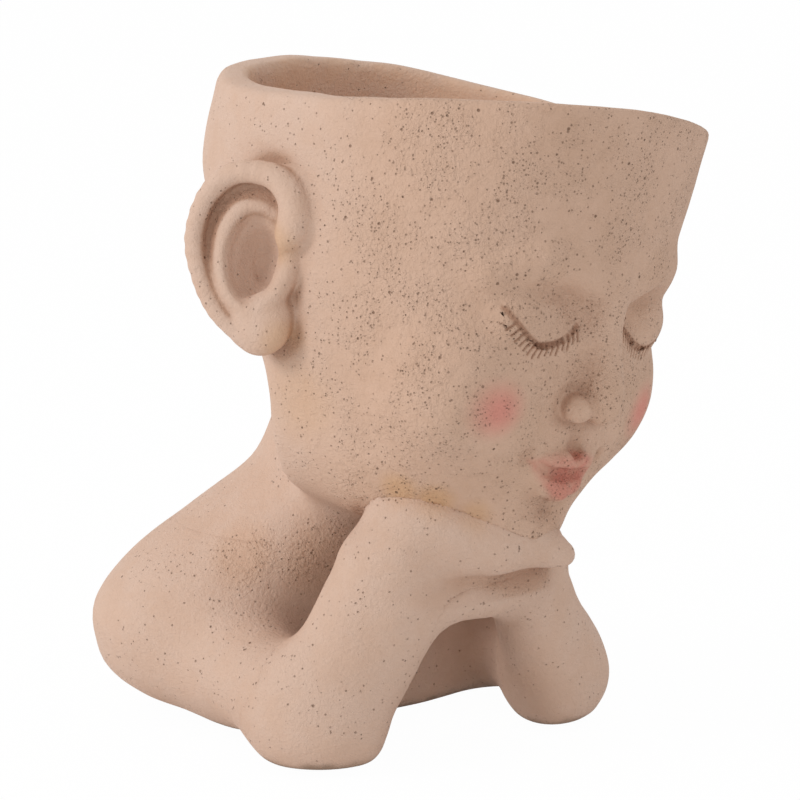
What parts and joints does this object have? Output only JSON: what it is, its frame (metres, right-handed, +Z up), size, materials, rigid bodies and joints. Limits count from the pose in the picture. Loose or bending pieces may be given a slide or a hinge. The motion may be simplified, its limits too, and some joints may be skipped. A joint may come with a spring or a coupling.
{
  "type": "head planter",
  "caption": "Plant pot shaped as a head with closed eyes, open at the crown, resting its chin on folded hands over a hollow bust; the pot drains through a plugged hole.",
  "frame": {"origin": "middle of the figure's box, on the plane that its four pads stand on", "axes": "+Z up; the bust faces -Y; the figure's own left hand is at +X"},
  "size_m": [0.1734, 0.1958, 0.2162],
  "materials": {
    "cast_clay": "matte cast magnesia clay, pitted, warm beige",
    "plug_rubber": "matte black rubber",
    "pad_foam": "pale closed-cell foam rubber"
  },
  "bodies": {
    "planter": {"head_pot": "cast_clay", "bust_shell": "cast_clay", "right_arm": "cast_clay", "left_arm": "cast_clay", "pad_right_elbow": "pad_foam", "pad_left_elbow": "pad_foam", "pad_right_back": "pad_foam", "pad_left_back": "pad_foam"},
    "plug": {"drain_plug": "plug_rubber"}
  },
  "joints": [
    {"name": "plug_lift", "type": "slide", "parent": "planter", "child": "plug", "axis": [0, 0, 1], "range_m": [0, 0.13]}
  ]
}
